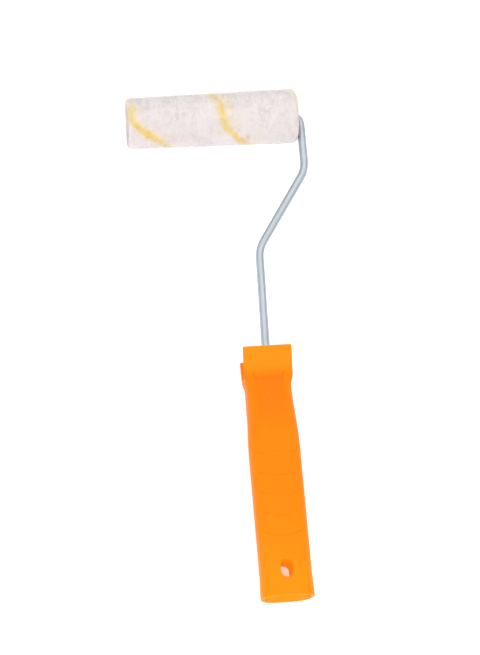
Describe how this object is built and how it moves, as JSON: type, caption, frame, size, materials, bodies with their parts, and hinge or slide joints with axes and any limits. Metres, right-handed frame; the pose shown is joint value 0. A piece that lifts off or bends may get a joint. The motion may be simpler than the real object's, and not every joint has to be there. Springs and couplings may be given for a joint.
{
  "type": "small paint roller",
  "caption": "Small paint roller: striped nap sleeve spinning on a cranked wire frame, moulded handle with thumb scoop, pot notch and hang hole.",
  "frame": {"origin": "middle of the bounding box's underside, with the roller lying on its back", "axes": "+Z out of the handle's thumb side, +Y from the handle's butt towards the sleeve, +X along the sleeve towards the wire's leg"},
  "size_m": [0.1085, 0.3158, 0.033],
  "materials": {
    "pile": "white short-pile knitted nap with yellow helical stripes",
    "core": "off-white extruded plastic tube",
    "bearing": "red-orange moulded plastic",
    "wire": "bright zinc-plated drawn steel wire",
    "washer": "zinc-plated steel",
    "spring_steel": "oiled spring steel",
    "handle": "orange moulded polypropylene, fine satin",
    "plug": "orange moulded polypropylene"
  },
  "bodies": {
    "frame": {"wire_frame": "wire", "thrust_washer": "washer", "end_washer": "washer", "push_nut": "spring_steel", "handle_shell": "handle", "butt_plug": "plug"},
    "sleeve": {"pile_cover": "pile", "core_tube": "core", "wire_end_bearing": "bearing", "free_end_bearing": "bearing"}
  },
  "joints": [
    {"name": "sleeve_spin", "type": "hinge", "parent": "frame", "child": "sleeve", "pos_m": [0.0174, 0.1414, 0.0165], "axis": [1, 0, 0], "continuous": true}
  ]
}
